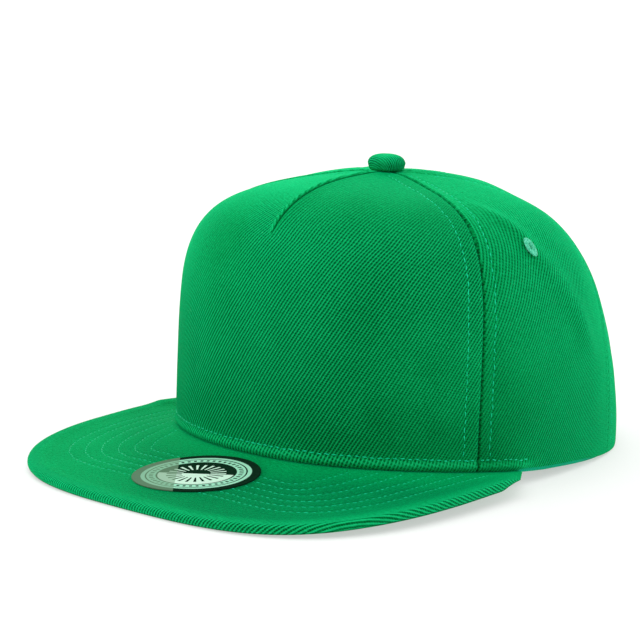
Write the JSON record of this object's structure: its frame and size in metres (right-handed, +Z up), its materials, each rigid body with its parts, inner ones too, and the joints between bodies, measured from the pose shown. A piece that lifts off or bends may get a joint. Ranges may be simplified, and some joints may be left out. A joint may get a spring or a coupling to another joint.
{
  "type": "flat bill cap",
  "caption": "Flat bill cap with a high rounded crown of sewn panels, a covered top button, an inner sweatband and a snap strap at the back.",
  "frame": {"origin": "centre of the cap's outline on the surface it rests on", "axes": "+Z up, bill towards -Y, +X towards the wearer's left"},
  "size_m": [0.1864, 0.2688, 0.1234],
  "materials": {
    "cloth": "green twill",
    "thread": "pale green embroidery thread",
    "strap_plastic": "green moulded plastic",
    "foil": null
  },
  "bodies": {
    "root": {"front_panel": "cloth", "side_panel_left": "cloth", "side_panel_right": "cloth", "back_panel_left": "cloth", "back_panel_right": "cloth", "top_button": "cloth", "eyelet_side_left": "thread", "eyelet_side_right": "thread", "eyelet_back_left": "thread", "eyelet_back_right": "thread", "sweatband": "cloth", "strap_left": "strap_plastic", "strap_right": "strap_plastic", "bill": "cloth", "bill_sticker": "foil"}
  },
  "joints": []
}
